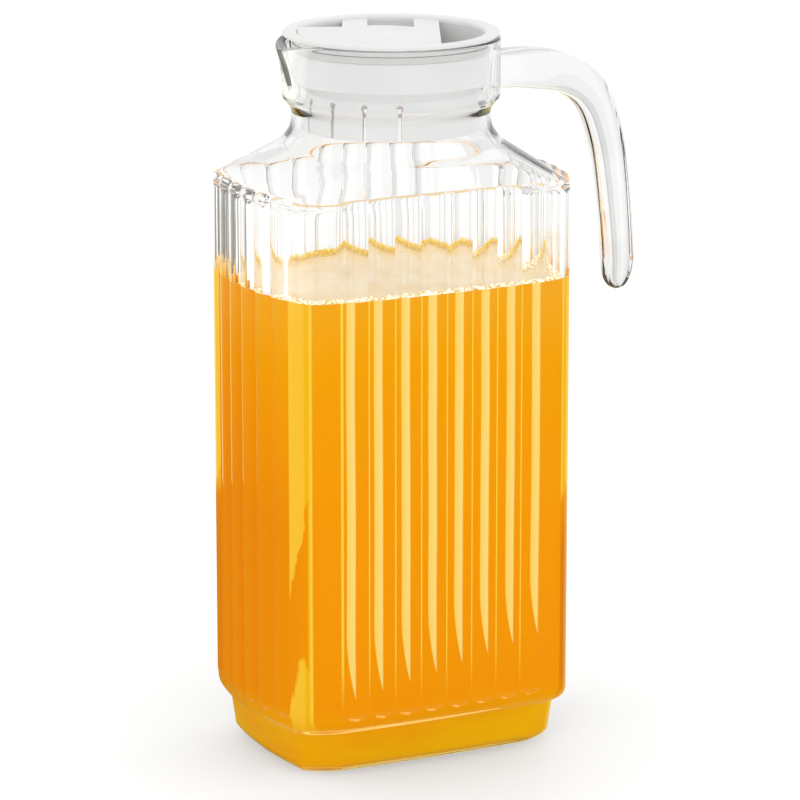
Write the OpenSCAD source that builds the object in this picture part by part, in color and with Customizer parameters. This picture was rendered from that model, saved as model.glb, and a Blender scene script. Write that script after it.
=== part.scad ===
// Glass fridge jug: rectangular fluted body on a set-in foot, round neck and collar
// with a pinched spout, a handle that is open at its lower end, and a white plug lid.
// The origin is the middle of the underside, +Z is up, the handle points along +X and
// the spout along -X.

/* [Body] */
// Width of the body between the middle grooves of its narrow faces
body_w = 118; // [112:1:126]
// Depth of the body between the middle grooves of its wide faces
body_d = 88; // [84:1:96]
// Height of the edge where the fluted walls turn in to the shoulder
shoulder_z = 207.3; // [180:0.1:230]
// Height of the sloping shoulder, from its edge to the foot of the neck
shoulder_h = 12.5; // [9:0.5:18]
// How far the middle of a wide face stands out past its end grooves
wide_bulge = 1.8; // [0.6:0.2:3]
// How far the middle of a narrow face stands out past its end grooves
narrow_bulge = 4.3; // [2:0.1:6]
// Glass thickness of the walls behind the grooves
wall_t = 3.8; // [2.6:0.1:4.6]
// Glass thickness of the bottom
base_t = 4; // [3:0.5:8]

/* [Flutes] */
// Distance between neighbouring grooves of the wide faces
wide_pitch = 10; // [8.5:0.1:10.2]
// Distance between neighbouring grooves of the narrow faces
narrow_pitch = 10.5; // [8.5:0.1:10.6]
// Number of flutes on each wide face
wide_flutes = 8; // [6:1:8]
// Number of flutes on each narrow face
narrow_flutes = 6; // [4:1:6]
// Height of a flute's crest above its grooves
flute_depth = 1.3; // [0.4:0.1:2]
// Height of the plain wall between the step and the flutes
flute_rise = 1.4; // [0.5:0.1:4]
// Height over which the flutes' round lower ends rise
flute_end_h = 3.4; // [2:0.1:6]

/* [Foot] */
// How far the foot is set in from the narrow faces
foot_inset_x = 5.6; // [4:0.1:8]
// How far the foot is set in from the wide faces
foot_inset_y = 7.1; // [5:0.1:9]
// Height of the foot below the step
foot_h = 15.6; // [13:0.1:18]
// How far the foot narrows from its top to its bottom edge
foot_draft = 1.4; // [0.2:0.1:2]
// Radius of the foot's bottom edge
foot_edge_r = 4; // [1.5:0.5:5]
// Height of the curved step from the foot out to the walls
step_h = 5; // [3:0.5:8]
// Glass thickness of the foot's walls
foot_wall_t = 3; // [2.6:0.1:4.6]

/* [Neck and collar] */
// Outside radius of the ring where the shoulder meets the neck
crease_r = 40.5; // [39.5:0.1:41.5]
// Outside radius of the neck at its narrowest
neck_r = 35.3; // [34.8:0.1:36.5]
// Height from the crease ring to the narrowest part of the neck
neck_h = 11; // [8:0.5:15]
// Outside radius of the collar
collar_r = 38.8; // [38.2:0.1:40]
// Height over which the neck flares out to the collar
flare_h = 6.5; // [5:0.5:9]
// Height of the straight collar, up to the rim
collar_h = 20.9; // [19:0.1:26]
// Glass thickness of the neck and the collar
collar_t = 3.6; // [3:0.1:4]
// Radius of the rounded edges of the rim
rim_edge_r = 1; // [0.5:0.1:1.4]

/* [Spout] */
// How far the tip of the spout stands out past the collar
spout_reach = 5.8; // [4:0.1:8]
// How far the tip of the spout lies below the rim
spout_drop = 2; // [1:0.1:3]
// Half of the angle of the collar that the spout takes up
spout_half_angle = 26; // [20:1:30]
// Glass thickness at the tip of the spout
spout_t = 2.6; // [2:0.1:3.4]

/* [Handle] */
// Height of the middle of the handle's root below the rim
handle_drop = 15.6; // [14.5:0.1:17]
// Distance from the axis to the middle of the handle at its lower end
handle_reach = 92.3; // [86:0.5:100]
// Height of the handle from the middle of its root to its lower tip
handle_h = 85.7; // [70:0.5:100]
// Width of the handle across the jug
handle_w = 10.4; // [8:0.2:13]
// Thickness of the handle at its root
handle_root_t = 12.6; // [11:0.2:13]
// Thickness of the handle at its lower end
handle_tip_t = 11.4; // [9:0.2:13]
// Bevel along the handle's edges
handle_bevel = 2.4; // [1:0.2:3]

/* [Lid] */
// Radius of the lid's flange
flange_r = 38.4; // [37.4:0.1:39]
// Thickness of the flange
flange_t = 1.6; // [1.2:0.1:2.4]
// Gap between the flange and the rim, all round
seat_gap = 0.1; // [0.05:0.05:0.3]
// Gap between the plug and the inside of the collar
plug_gap = 0.6; // [0.5:0.05:0.8]
// Wall thickness of the plug and its skirt
plug_t = 1.7; // [1.6:0.1:2.2]
// How far the lid reaches down from the rim
plug_depth = 33.2; // [30:0.2:36]
// Gap between the lower skirt and the narrowest part of the neck
skirt_gap = 0.6; // [0.4:0.1:1.2]
// Height of the lower skirt, which passes through the neck
skirt_h = 14.4; // [13:0.2:16]
// Depth of the finger recess below the flange's top
recess_depth = 14; // [10:0.5:16]
// Radius of the recess's upper edge
recess_edge_r = 1.8; // [0.8:0.1:2.4]
// Radius of the round back of the finger pad in the recess
pad_r = 21; // [18:0.5:23]
// Place of that round back's centre, across the rails
pad_x = -4; // [-6:0.5:0]
// Place of that round back's centre, along the rails
pad_y = -9; // [-12:0.5:-8]
// Place of the straight back edge of the pad's left part
pad_back = 8.6; // [6:0.2:10]
// How far the pad's top lies below the flange's top
pad_drop = 0.4; // [0.2:0.1:2]
// Distance from the lid's axis to the middle of each cross rail
rail_offset = 12.8; // [10:0.1:13.5]
// Width of each cross rail
rail_w = 9; // [7:0.5:10]
// How far the rails' tops lie below the flange's top
rail_drop = 1.2; // [0.6:0.1:3]
// How far the lid is turned at rest, from its rails square to the spout
lid_turned = -26; // [-90:1:90]

/* [Strainer slits] */
// Number of slits in the lower skirt
slit_count = 7; // [3:2:9]
// Angle between neighbouring slits
slit_step = 22.4; // [18:0.1:26]
// Angle from the line across the rails, on the spout's side, to the middle slit
slit_middle = 28; // [0:1:40]
// Width of a slit
slit_w = 1.2; // [0.8:0.1:1.6]
// Height of a slit above the skirt's lower edge
slit_h = 12.2; // [9:0.1:12.6]

/* [Seal ring] */
// Height of the seal ring
seal_h = 2.6; // [2:0.1:3.2]
// Distance from the rim down to the middle of the seal ring
seal_drop = 3.6; // [3:0.1:5]
// Gap between the seal ring and the inside of the collar
seal_gap = 0.2; // [0.1:0.05:0.3]
// Depth of the groove that the ring lies in
groove_depth = 0.75; // [0.6:0.05:0.8]
// Gap between the ring and each face of its groove
groove_gap = 0.15; // [0.1:0.05:0.2]

/* [Hidden] */

// Overrun of every cut, and how deep joined shapes run into each other
over = 1;
sunk = 0.3;

// Points along a flute, a corner of the body and a curve of the neck
flute_steps = 4;
corner_steps = 6;
curve_steps = 7;
edge_steps = 3;
// Sides that stand for a full circle
round_sides = 96;
hole_sides = 24;
// Share of the way to the sharp corner at which a round corner's control points lie
body_corner_share = 0.75;
foot_corner_share = 0.35;

// Half lengths of the fluted stretches
wide_half = wide_flutes * wide_pitch / 2;
narrow_half = narrow_flutes * narrow_pitch / 2;
// The foot and the inside keep these shares of the fluted stretches and bulges
foot_wide_share = 0.95;
foot_narrow_share = 0.92;
foot_bulge_share = 0.5;
// How far the inside has opened out at the middle of the step
step_in_share = 0.8;
// Shares that shape the neck: its waist's control point, and the two arms of the flare
waist_share = 0.14;
waist_rise_share = 0.5;
flare_low_share = 0.5;
flare_high_share = 0.4;

// Heights that follow from the sizes above
crease_z = shoulder_z + shoulder_h;
neck_z = crease_z + neck_h;
collar_z = neck_z + flare_h;
rim_z = collar_z + collar_h;
flange_z = rim_z + seat_gap;
lid_top_z = flange_z + flange_t;
step_top_z = foot_h + step_h;
flute_low_z = step_top_z + flute_rise;
flute_full_z = flute_low_z + flute_end_h;

// Inside radii of the neck, the collar and the foot of the neck
neck_in_r = neck_r - collar_t;
collar_in_r = collar_r - collar_t;
crease_in_r = crease_r - collar_t;
// The inside of the shoulder lies below its outside by this share of the glass
shoulder_in_share = 0.55;
shoulder_in_drop = collar_t * shoulder_in_share;

// Lid sizes that follow
plug_r = collar_in_r - plug_gap;
recess_r = plug_r - plug_t;
skirt_r = neck_in_r - skirt_gap;
skirt_in_r = skirt_r - plug_t;
skirt_z = rim_z - plug_depth;
skirt_top_z = skirt_z + skirt_h;
plug_cone_h = plug_r - skirt_r;
recess_z = lid_top_z - recess_depth;
pad_top_z = lid_top_z - pad_drop;
rail_top_z = lid_top_z - rail_drop;
flange_edge_share = 0.45;
flange_edge_r = flange_t * flange_edge_share;

// Seal ring sizes that follow
seal_r = collar_in_r - seal_gap;
groove_r = plug_r - groove_depth;
seal_z = rim_z - seal_drop - seal_h / 2;

// Shares of the handle's reach and height at which its middle line's control points lie
handle_arm_share = 0.49;
handle_bend_share = 0.78;
handle_bend_drop_share = 0.04;
handle_knee_share = 0.865;
handle_knee_drop_share = 0.264;
handle_knee_arm_share = 0.18;
handle_low_arm_share = 0.28;
handle_steps = 12;
handle_tip_steps = 4;
// Angle of a round end at which the handle's last section lies
handle_end_angle = 78;

// Shares of the collar's glass and the spout's drop where the spout's roots lie
spout_root_share = 0.5;
spout_low_share = 0.25;
spout_side_drop_share = 0.2;
// The channel inside the spout takes this share of its angle
channel_share = 0.8;

// Height of a shallow arc of the given half chord and rise, at distance u from its middle
function rise(u, half, top) =
    top <= 0 ? 0
    : let (r = (half * half + top * top) / (2 * top)) sqrt(r * r - u * u) - (r - top);
// Angle of such an arc at its end
function end_angle(half, top) =
    top <= 0 ? 0 : asin(half / ((half * half + top * top) / (2 * top)));

// Points of one face as [place along the face, distance from the axis]
function face(half, out, bulge, count, depth, steps) =
    let (pitch = 2 * half / count)
    [for (k = [0:count * steps])
        let (u = -half + k * pitch / steps, v = (k % steps) * pitch / steps - pitch / 2)
        [u, out - bulge + rise(u, half, bulge) + (k % steps == 0 ? 0 : rise(v, pitch / 2, depth))]];

// Cubic and quadratic curves
function cubic(a, b, c, d, t) =
    a * pow(1 - t, 3) + b * 3 * t * pow(1 - t, 2) + c * 3 * t * t * (1 - t) + d * pow(t, 3);
function quadratic(a, b, c, t) = a * pow(1 - t, 2) + b * 2 * t * (1 - t) + c * t * t;

// Plain corner between the end of a wide face and the start of a narrow face
function corner(p, q, a, b, share, steps) =
    let (
        d = q - p,
        s = [cos(a), sin(a)],
        e = [sin(b), cos(b)],
        det = s[0] * e[1] - s[1] * e[0],
        k = p + s * (d[0] * e[1] - d[1] * e[0]) / det
    )
    [for (i = [1:steps - 1])
        cubic(p, p + (k - p) * share, q + (k - q) * share, q, i / steps)];

// Closed plan at one level: half width, half depth, bulges, fluted halves, corner share
function plan(hw, hd, nb, wb, nh, wh, share, depth, steps) =
    let (
        wide = [for (p = face(wh, hd, wb, wide_flutes, depth, steps)) [p[0], -p[1]]],
        narrow = [for (p = face(nh, hw, nb, narrow_flutes, depth, steps)) [p[1], p[0]]],
        turn = corner([wh, wb - hd], [hw - nb, -nh], end_angle(wh, wb), end_angle(nh, nb),
            share, corner_steps),
        back = [for (i = [len(turn) - 1:-1:0]) [turn[i][0], -turn[i][1]]],
        side = concat(wide, turn, narrow, back)
    )
    concat(side, [for (p = side) -p]);

function at_height(points, z) = [for (p = points) [p[0], p[1], z]];
function blend(p, q, t) = [for (i = [0:len(p) - 1]) p[i] * (1 - t) + q[i] * t];
function on_circle(points, r) = [for (p = points) r * [p[0], p[1]] / norm([p[0], p[1]])];

// Faces of a solid through a stack of equal rings, lowest first
function stack_faces(rings, n) =
    concat(
        [[for (i = [0:n - 1]) i]],
        [for (k = [0:rings - 2], i = [0:n - 1])
            let (j = (i + 1) % n) each [
                [k * n + i, (k + 1) * n + i, (k + 1) * n + j],
                [k * n + i, (k + 1) * n + j, k * n + j]
            ]],
        [[for (i = [n - 1:-1:0]) (rings - 1) * n + i]]
    );

module stack(rings) {
    polyhedron(
        points = [for (r = rings) each r],
        faces = stack_faces(len(rings), len(rings[0])),
        convexity = 6
    );
}

// Outside of the body: foot, step, fluted walls and sloping shoulder
foot_half_w = body_w / 2 - foot_inset_x;
foot_half_d = body_d / 2 - foot_inset_y;
body_plan = plan(body_w / 2, body_d / 2, narrow_bulge, wide_bulge,
    narrow_half, wide_half, body_corner_share, flute_depth, flute_steps);
plain_plan = plan(body_w / 2, body_d / 2, narrow_bulge, wide_bulge,
    narrow_half, wide_half, body_corner_share, 0, flute_steps);
function foot_ring(wall, steps) =
    plan(foot_half_w - wall, foot_half_d - wall,
        narrow_bulge * foot_bulge_share, wide_bulge * foot_bulge_share,
        narrow_half * foot_narrow_share, wide_half * foot_wide_share, foot_corner_share, 0, steps);
foot_plan = foot_ring(0, flute_steps);
function drawn_in(points, d) =
    [for (p = points) [p[0] * (1 - d / foot_half_w), p[1] * (1 - d / foot_half_d)]];

module body_outside() {
    edge = [for (i = [0:edge_steps])
        let (a = 90 * i / edge_steps)
        at_height(drawn_in(foot_plan, foot_draft + foot_edge_r * (1 - sin(a))),
            foot_edge_r * (1 - cos(a)))];
    step = [for (i = [1:edge_steps])
        let (a = 90 * i / edge_steps)
        at_height(blend(foot_plan, plain_plan, sin(a)), foot_h + step_h * (1 - cos(a)))];
    stack(concat(
        edge,
        [at_height(foot_plan, foot_h)],
        step,
        [at_height(plain_plan, flute_low_z)],
        [at_height(body_plan, flute_full_z)],
        [at_height(body_plan, shoulder_z)],
        [at_height(on_circle(body_plan, crease_r), crease_z)]
    ));
}

// Inside of the body, without flutes
in_plan = plan(body_w / 2 - wall_t, body_d / 2 - wall_t, narrow_bulge, wide_bulge,
    narrow_half, wide_half, body_corner_share, 0, 1);
foot_in_plan = foot_ring(foot_wall_t, 1);

module body_inside() {
    floor_r = base_t / 2;
    stack([
        at_height(drawn_in(foot_in_plan, foot_draft + floor_r), base_t),
        at_height(drawn_in(foot_in_plan, foot_draft), base_t + floor_r),
        at_height(foot_in_plan, foot_h + foot_wall_t / 2),
        at_height(blend(foot_in_plan, in_plan, step_in_share), foot_h + step_h / 2),
        at_height(in_plan, step_top_z + wall_t / 2),
        at_height(in_plan, shoulder_z - shoulder_in_drop),
        at_height(on_circle(in_plan, crease_in_r), crease_z - shoulder_in_drop)
    ]);
}

// Neck and collar, as a profile from the foot of the neck to its widest height
function neck_side(foot_r, foot_z, waist_r, top_r, top_z) =
    concat(
        [for (i = [0:curve_steps])
            quadratic([foot_r, foot_z],
                [waist_r + (foot_r - waist_r) * waist_share, foot_z + neck_h * waist_rise_share],
                [waist_r, neck_z], i / curve_steps)],
        [for (i = [1:curve_steps])
            cubic([waist_r, neck_z], [waist_r, neck_z + flare_h * flare_low_share],
                [top_r, neck_z + flare_h * flare_high_share], [top_r, top_z], i / curve_steps)]
    );
function round_edge(center, r, from, to) =
    [for (i = [0:edge_steps])
        let (a = from + (to - from) * i / edge_steps) center + r * [cos(a), sin(a)]];

module neck_outside() {
    rotate_extrude($fn = round_sides)
        polygon(concat(
            [[0, crease_z - over], [crease_r - sunk, crease_z - over]],
            neck_side(crease_r - sunk, crease_z, neck_r, collar_r, collar_z),
            round_edge([collar_r - rim_edge_r, rim_z - rim_edge_r], rim_edge_r, 0, 90),
            [[0, rim_z]]
        ));
}

module neck_inside() {
    rotate_extrude($fn = round_sides)
        polygon(concat(
            [[0, crease_z - shoulder_in_drop - over],
                [crease_in_r - sunk, crease_z - shoulder_in_drop - over]],
            neck_side(crease_in_r - sunk, crease_z - shoulder_in_drop, neck_in_r,
                collar_in_r, collar_z),
            [[collar_in_r, rim_z - rim_edge_r], [collar_in_r + rim_edge_r, rim_z],
                [collar_in_r + rim_edge_r, rim_z + over], [0, rim_z + over]]
        ));
}

// A beak: a flat top with a tip, which narrows down to one point on the collar
module beak(tip_r, tip_z, root_r, half_angle, top_z, low_r, low_z) {
    x = root_r * cos(half_angle);
    y = root_r * sin(half_angle);
    polyhedron(
        points = [[-tip_r, 0, tip_z], [-x, -y, top_z], [-x, y, top_z], [-low_r, 0, low_z]],
        faces = [[0, 2, 1], [0, 1, 3], [0, 3, 2], [1, 2, 3]]
    );
}

// Middle line of the handle in the plane through the spout
handle_z = rim_z - handle_drop;
handle_root = [collar_r - collar_t / 2, handle_z];
handle_arm = [collar_r + (handle_reach - collar_r) * handle_arm_share, handle_z];
handle_bend = [collar_r + (handle_reach - collar_r) * handle_bend_share,
    handle_z - handle_h * handle_bend_drop_share];
handle_knee = [collar_r + (handle_reach - collar_r) * handle_knee_share,
    handle_z - handle_h * handle_knee_drop_share];
handle_low = [handle_reach, handle_z - handle_h * (1 - handle_low_arm_share)];
handle_tip = [handle_reach, handle_z - handle_h];
knee_arm = handle_knee
    + (handle_knee - handle_bend) * handle_knee_arm_share / handle_knee_drop_share;

function handle_upper(t) = cubic(handle_root, handle_arm, handle_bend, handle_knee, t);
function handle_lower(t) = cubic(handle_knee, knee_arm, handle_low, handle_tip, t);
handle_straight = 1 - handle_tip_t / 2 / (handle_h * (1 - handle_knee_drop_share));
function handle_line() = concat(
    [for (i = [0:handle_steps - 1]) handle_upper(i / handle_steps)],
    [for (i = [0:handle_steps]) handle_lower(handle_straight * i / handle_steps)],
    [for (i = [1:handle_tip_steps])
        handle_lower(handle_straight + (1 - handle_straight) * sin(90 * i / handle_tip_steps))]
);

// One bevelled section of the handle, square to its middle line
function handle_section(p, along, w, t, bevel) =
    let (side = [along[1], -along[0]], a = w / 2, b = t / 2)
    [for (q = [[-a, b - bevel], [bevel - a, b], [a - bevel, b], [a, b - bevel],
            [a, bevel - b], [a - bevel, -b], [bevel - a, -b], [-a, bevel - b]])
        [p[0] + side[0] * q[1], q[0], p[1] + side[1] * q[1]]];

module handle() {
    line = handle_line();
    last = len(line) - 1;
    straight = last - handle_tip_steps;
    stack([for (i = [0:last])
        let (
            step = line[min(i + 1, last)] - line[max(i - 1, 0)],
            t = handle_root_t + (handle_tip_t - handle_root_t) * min(i / straight, 1),
            s = i <= straight ? 1 : cos(handle_end_angle * (i - straight) / handle_tip_steps)
        )
        handle_section(line[i], step / norm(step), handle_w * s, t * s, handle_bevel * s)]);
}

module glass_jug() {
    color([0.86, 0.92, 0.92, 0.45])
        difference() {
            union() {
                body_outside();
                neck_outside();
                beak(collar_r + spout_reach, rim_z - spout_drop,
                    collar_in_r + collar_t * spout_root_share, spout_half_angle,
                    rim_z - spout_drop * spout_side_drop_share,
                    collar_r - collar_t * spout_low_share, collar_z);
                handle();
            }
            body_inside();
            neck_inside();
            beak(collar_r + spout_reach - spout_t, rim_z + over, collar_in_r - sunk,
                spout_half_angle * channel_share, rim_z + over, collar_in_r - sunk, collar_z + spout_t);
        }
}

// Silicone ring in the groove round the plug
module seal_ring() {
    color([0.93, 0.93, 0.9])
        rotate_extrude($fn = round_sides)
            translate([groove_r + groove_gap, seal_z + groove_gap])
                square([seal_r - groove_r - groove_gap, seal_h - 2 * groove_gap]);
}

// Wall of the lid: flange, plug, cone and lower skirt
module lid_wall() {
    rotate_extrude($fn = round_sides)
        polygon(concat(
            round_edge([recess_r + recess_edge_r, lid_top_z - recess_edge_r], recess_edge_r,
                90, 180),
            [[recess_r, skirt_top_z + plug_cone_h],
                [skirt_in_r, skirt_top_z], [skirt_in_r, skirt_z], [skirt_r, skirt_z],
                [skirt_r, skirt_top_z], [plug_r, skirt_top_z + plug_cone_h],
                [plug_r, seal_z], [groove_r, seal_z], [groove_r, seal_z + seal_h],
                [plug_r, seal_z + seal_h], [plug_r, flange_z]],
            round_edge([flange_r - flange_edge_r, flange_z + flange_edge_r], flange_edge_r, -90, 0),
            round_edge([flange_r - flange_edge_r, lid_top_z - flange_edge_r], flange_edge_r, 0, 90)
        ));
}

// Pad and rails, or the hollow below them: drawn in by inset, with their tops lowered
module grip(inset, lowered) {
    bottom = recess_z - plug_t;
    pad_h = pad_top_z - lowered - bottom;
    pad_side = rail_offset + rail_w / 2 - inset;
    intersection() {
        translate([-recess_r, -recess_r, 0])
            cube([recess_r + pad_side, 2 * recess_r, pad_h]);
        union() {
            translate([pad_x, pad_y, 0])
                cylinder(h = pad_h, r = pad_r - inset, $fn = round_sides);
            translate([-recess_r, -recess_r, 0])
                cube([2 * recess_r, recess_r + pad_y, pad_h]);
            translate([-recess_r, -recess_r, 0])
                cube([recess_r + pad_x, recess_r + pad_back - inset, pad_h]);
        }
    }
    for (side = [-1, 1])
        translate([side * rail_offset - rail_w / 2 + inset, -recess_r, 0])
            cube([rail_w - 2 * inset, 2 * recess_r, rail_top_z - lowered - bottom]);
}

// Floor of the recess with the pad and its rails, open from below
module lid_grip() {
    translate([0, 0, recess_z - plug_t])
        difference() {
            intersection() {
                union() {
                    cylinder(h = plug_t, r = recess_r + sunk, $fn = round_sides);
                    grip(0, 0);
                }
                cylinder(h = lid_top_z, r = recess_r + sunk, $fn = round_sides);
            }
            translate([0, 0, -over])
                intersection() {
                    grip(plug_t, plug_t - over);
                    cylinder(h = lid_top_z, r = recess_r - plug_t, $fn = round_sides);
                }
        }
}

// Slits of the strainer, each with a round upper end
module slits() {
    for (i = [0:slit_count - 1])
        rotate([0, 0, 180 + slit_middle + (i - (slit_count - 1) / 2) * slit_step])
            translate([skirt_in_r - over, 0, skirt_z - over]) {
                translate([0, -slit_w / 2, 0])
                    cube([plug_t + 2 * over, slit_w, slit_h + over]);
                translate([0, 0, slit_h + over])
                    rotate([0, 90, 0])
                        cylinder(h = plug_t + 2 * over, r = slit_w, $fn = hole_sides);
            }
}

module lid() {
    color([0.94, 0.94, 0.93])
        rotate([0, 0, lid_turned])
            difference() {
                union() {
                    lid_wall();
                    lid_grip();
                }
                slits();
            }
}

glass_jug();
seal_ring();
lid();
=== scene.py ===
"""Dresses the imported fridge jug: clear fluted glass with juice and foam, white lid, seal ring."""
import math
import random

import bmesh
import bpy
import numpy as np
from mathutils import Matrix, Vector

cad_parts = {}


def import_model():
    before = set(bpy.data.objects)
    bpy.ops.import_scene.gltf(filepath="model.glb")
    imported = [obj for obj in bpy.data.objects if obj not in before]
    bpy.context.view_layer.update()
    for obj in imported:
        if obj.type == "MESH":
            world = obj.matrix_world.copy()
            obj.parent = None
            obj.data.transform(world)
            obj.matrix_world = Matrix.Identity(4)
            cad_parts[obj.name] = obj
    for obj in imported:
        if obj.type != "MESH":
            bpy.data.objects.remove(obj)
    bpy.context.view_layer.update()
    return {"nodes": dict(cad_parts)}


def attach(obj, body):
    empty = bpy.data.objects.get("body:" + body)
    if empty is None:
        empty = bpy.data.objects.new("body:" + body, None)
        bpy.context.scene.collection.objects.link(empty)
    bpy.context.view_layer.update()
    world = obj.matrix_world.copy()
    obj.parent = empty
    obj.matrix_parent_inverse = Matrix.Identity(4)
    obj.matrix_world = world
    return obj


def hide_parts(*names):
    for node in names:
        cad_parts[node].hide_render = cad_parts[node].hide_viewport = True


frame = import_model()

MM = 0.001

# Sizes in millimetres: the glass as in the part's source, and then what is only here
BODY_W, BODY_D = 118.0, 88.0
WIDE_BULGE, NARROW_BULGE = 1.8, 4.3
WIDE_PITCH, WIDE_FLUTES, NARROW_PITCH, NARROW_FLUTES, FLUTE_DEPTH = 10.0, 8, 10.5, 6, 1.3
WALL_T, FOOT_WALL_T, BASE_T = 3.8, 3.0, 4.0
FOOT_INSET_X, FOOT_INSET_Y, FOOT_H, FOOT_DRAFT, FOOT_EDGE_R = 5.6, 7.1, 15.6, 1.4, 4.0
FOOT_WIDE_SHARE, FOOT_NARROW_SHARE, FOOT_BULGE_SHARE = 0.95, 0.92, 0.5
STEP_H, FLUTE_LOW_Z, FLUTE_END_H = 5.0, 21.6, 3.8
SHOULDER_Z, CREASE_Z, CREASE_R = 207.3, 219.8, 40.5
NECK_R, NECK_Z = 35.3, 230.8
COLLAR_R, COLLAR_Z, COLLAR_T, RIM_Z, RIM_EDGE_R = 38.8, 237.3, 3.6, 258.2, 1.0
SHOULDER_IN_DROP, SHOULDER_IN_EDGE_H = 2.0, 3.0
SPOUT_REACH, SPOUT_DROP, SPOUT_HALF = 5.8, 2.0, 26.0
HANDLE_W, HANDLE_EDGE_R = 10.4, 3.1
# Rounding at the shoulder's edge, the flutes' fade above it, and the hollow under the foot
SHOULDER_EDGE_H, FLUTE_FADE, FOOT_HOLLOW = 0.9, 1.5, 0.9
# Rings under the foot: on the hollow, at its end with the height there, and on the flat edge
HOLLOW_SHARES = (0.04, 0.3, 0.55, 0.75, 0.87)
HOLLOW_END_SHARE, HOLLOW_END_Z, FLAT_SHARE = 0.93, 0.12, 0.97
# Rings up the foot's side, and the last one, which lies this far in and below its top
FOOT_SIDE_SHARES, FOOT_TOP_IN, FOOT_TOP_DROP = (0.33, 0.66, 0.9), 0.1, 0.35
# Rings up the shoulder's slope: at these distances while the flutes fade, then at shares
FADE_RINGS = (1.2, 1.5, 1.8, 2.05, 2.25, 2.4)
SLOPE_SHARES = (0.12, 0.3, 0.5, 0.7, 0.86)
# Rings inside it: down the slope, and round its edge
SLOPE_IN_SHARES, EDGE_IN_SHARES = (0.2, 0.45, 0.7, 0.9), (0.2, 0.4, 0.6, 0.8, 1)
# Control points of the neck's curve, from the crease, from the waist and up to the flare
CREASE_ARM, CREASE_ARM_SHARE, WAIST_ARM_LOW, WAIST_ARM_HIGH = 4.2, 0.2, 4.5, 2.4
FLARE_ARM, FLARE_ARM_SHARE = 3.4, 0.45
# The collar's lower corner: where it starts, its control point and where it ends
COLLAR_EDGE_IN, COLLAR_EDGE_DROP, COLLAR_EDGE_ARM, COLLAR_EDGE_H = 0.35, 0.9, 0.25, 0.8
# The rim's flat top has two rings, this far from its round edges
RIM_FLAT_OUT, RIM_FLAT_IN = 0.6, 0.5
# The spout starts this far below the collar's corner outside and above it inside. Inside it is
# deeper and narrower, and its lip drops over the last stretch.
SPOUT_BELOW, SPOUT_ABOVE, SPOUT_DEEPER, SPOUT_NARROWER, SPOUT_LIP_H = 2.5, 2.0, 0.6, 3.0, 8.0
# How much the spout narrows downwards, how late it comes out, and how pointed its lip is
SPOUT_PINCH, SPOUT_RISE_POWER, SPOUT_DROP_POWER = 0.25, 1.15, 1.3
# Inside, control points of the step above the foot, as shares of its height, and the floor
STEP_ARM_SHARE, STEP_LOW_ARM_SHARE, FLOOR_SHARES = 0.55, 0.35, (0.85, 0.6, 0.3, 0.04)
# The handle widens by this share at the collar, over this distance, and has a blunt tip
HANDLE_FLARE_SHARE, HANDLE_FLARE_REACH, HANDLE_TIP_POWER = 0.22, 1.8, 0.85
# The juice: its level, how far it shows into the foot's glass, how far it overlaps the wall,
# and how far it creeps up the glass
LEVEL_Z, FOOT_SINK, JUICE_OVERLAP, JUICE_CREEP = 171.8, 2.0, 0.2, 1.2
# Light bands that the flutes of a wide face gather on the juice, and the lines by the grooves
BAND_START, BAND_PITCH, BAND_W, BAND_WOBBLE = -36.65, 10.3, 2.67, 0.8
BAND_END_Z, BAND_END_SLOPE, BAND_TAPER_H = 36.0, 0.2, 26.0
# Soft edges of a band, and the room before the first one and after the last
BAND_LEFT_SOFT, BAND_RIGHT_SOFT, BAND_ROOM = 0.15, 0.2, 0.6
LINE_START, LINE_W, LINE_SOFT = 1.1, 1.15, 0.15
# A corner starts this far from the middle of the jug and is this wide across Y, and its light
# goes this far past it
CORNER_X, CORNER_Y, CORNER_W, CORNER_OVERLAP = 44.0, 27.0, 9.0, 0.1
# Rings of the juice's surface: share of the way to the glass, and height above the level
SURFACE = [(0.05, 0), (0.4, 0), (0.7, 0), (0.88, 0), (0.94, 0.05), (0.965, 0.2), (0.985, 0.55),
           (1.0, JUICE_CREEP)]
# Faces of the juice count as its surface where they point up by more than this many degrees
SURFACE_ANGLE = 30
# Foam bubbles: the smallest radius, how much larger some are and how seldom, how far they keep
# off the glass, and how high they pile up at it
FOAM_SEED, FOAM_BUBBLES, BUBBLE_R, BUBBLE_R_MORE, BUBBLE_R_POWER = 7, 2600, 0.28, 0.5, 2.5
BUBBLE_OFF_SHARE, FOAM_SPREAD = 0.8, 0.8
FOAM_H, FOAM_SLOPE, FOAM_SCATTER = 1.4, 0.5, (-0.6, 1.2)

# Points along a flute, a corner and the handle's outline, steps of curves and round edges, and
# heights of plain rings
FLUTE_STEPS, CORNER_STEPS, HANDLE_STEPS, TIP_STEPS = 12, 14, 5, 8
FOOT_EDGE_STEPS, STEP_STEPS, STEP_IN_STEPS, FLUTE_END_STEPS, SHOULDER_STEPS = 8, 22, 10, 14, 6
NECK_STEPS, FLARE_STEPS, COLLAR_EDGE_STEPS, RIM_STEPS = 12, 10, 4, 6
BODY_RINGS = (26, 27, 31, 45, 65, 85, 105, 125, 145, 165, 185, 200, 205.7)
INSIDE_RINGS = (195, 173.3, 150, 125, 100, 75, 50, 35, 29.3)
COLLAR_RINGS = (239.3, 241.3, 243.8, 246.3, 248.8, 251.3, 253.3, 254.8, 256.3)
COLLAR_IN_RINGS = (256.3, 254.3, 251.8, 249.3, 246.8, 244.3, 241.8, 239.5)
BODY_CORNER_SHARE, FOOT_CORNER_SHARE = 0.75, 0.35


# Outlines
def rise(u, half, top):
    """Height of a shallow arc of the given half chord and rise, at distance u from its middle."""
    if top <= 0:
        return np.zeros_like(u)
    r = (half * half + top * top) / (2 * top)
    return np.sqrt(np.maximum(r * r - u * u, 0)) - (r - top)


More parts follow.
